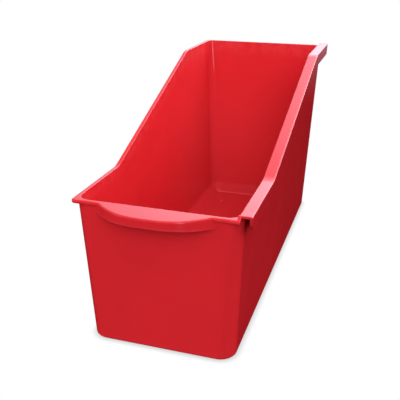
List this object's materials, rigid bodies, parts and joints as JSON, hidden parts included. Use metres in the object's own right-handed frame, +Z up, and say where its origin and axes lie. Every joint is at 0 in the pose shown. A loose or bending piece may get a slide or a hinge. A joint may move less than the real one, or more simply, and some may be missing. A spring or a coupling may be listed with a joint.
{
  "type": "interlocking book bin",
  "caption": "Low-front, high-back open plastic bin for books, with a crescent finger pull and a side rail that hooks over the next bin's rim.",
  "frame": {"origin": "centre of the flat underside that the bin rests on", "axes": "+X towards the side with the hook rail, +Y towards the tall back, +Z up; the low front with the finger pull faces -Y"},
  "size_m": [0.1331, 0.3438, 0.178],
  "materials": {
    "bin_plastic": "glossy red polypropylene, smooth with faint moulding ripple"
  },
  "bodies": {
    "root": {"book_bin": "bin_plastic"}
  },
  "joints": []
}
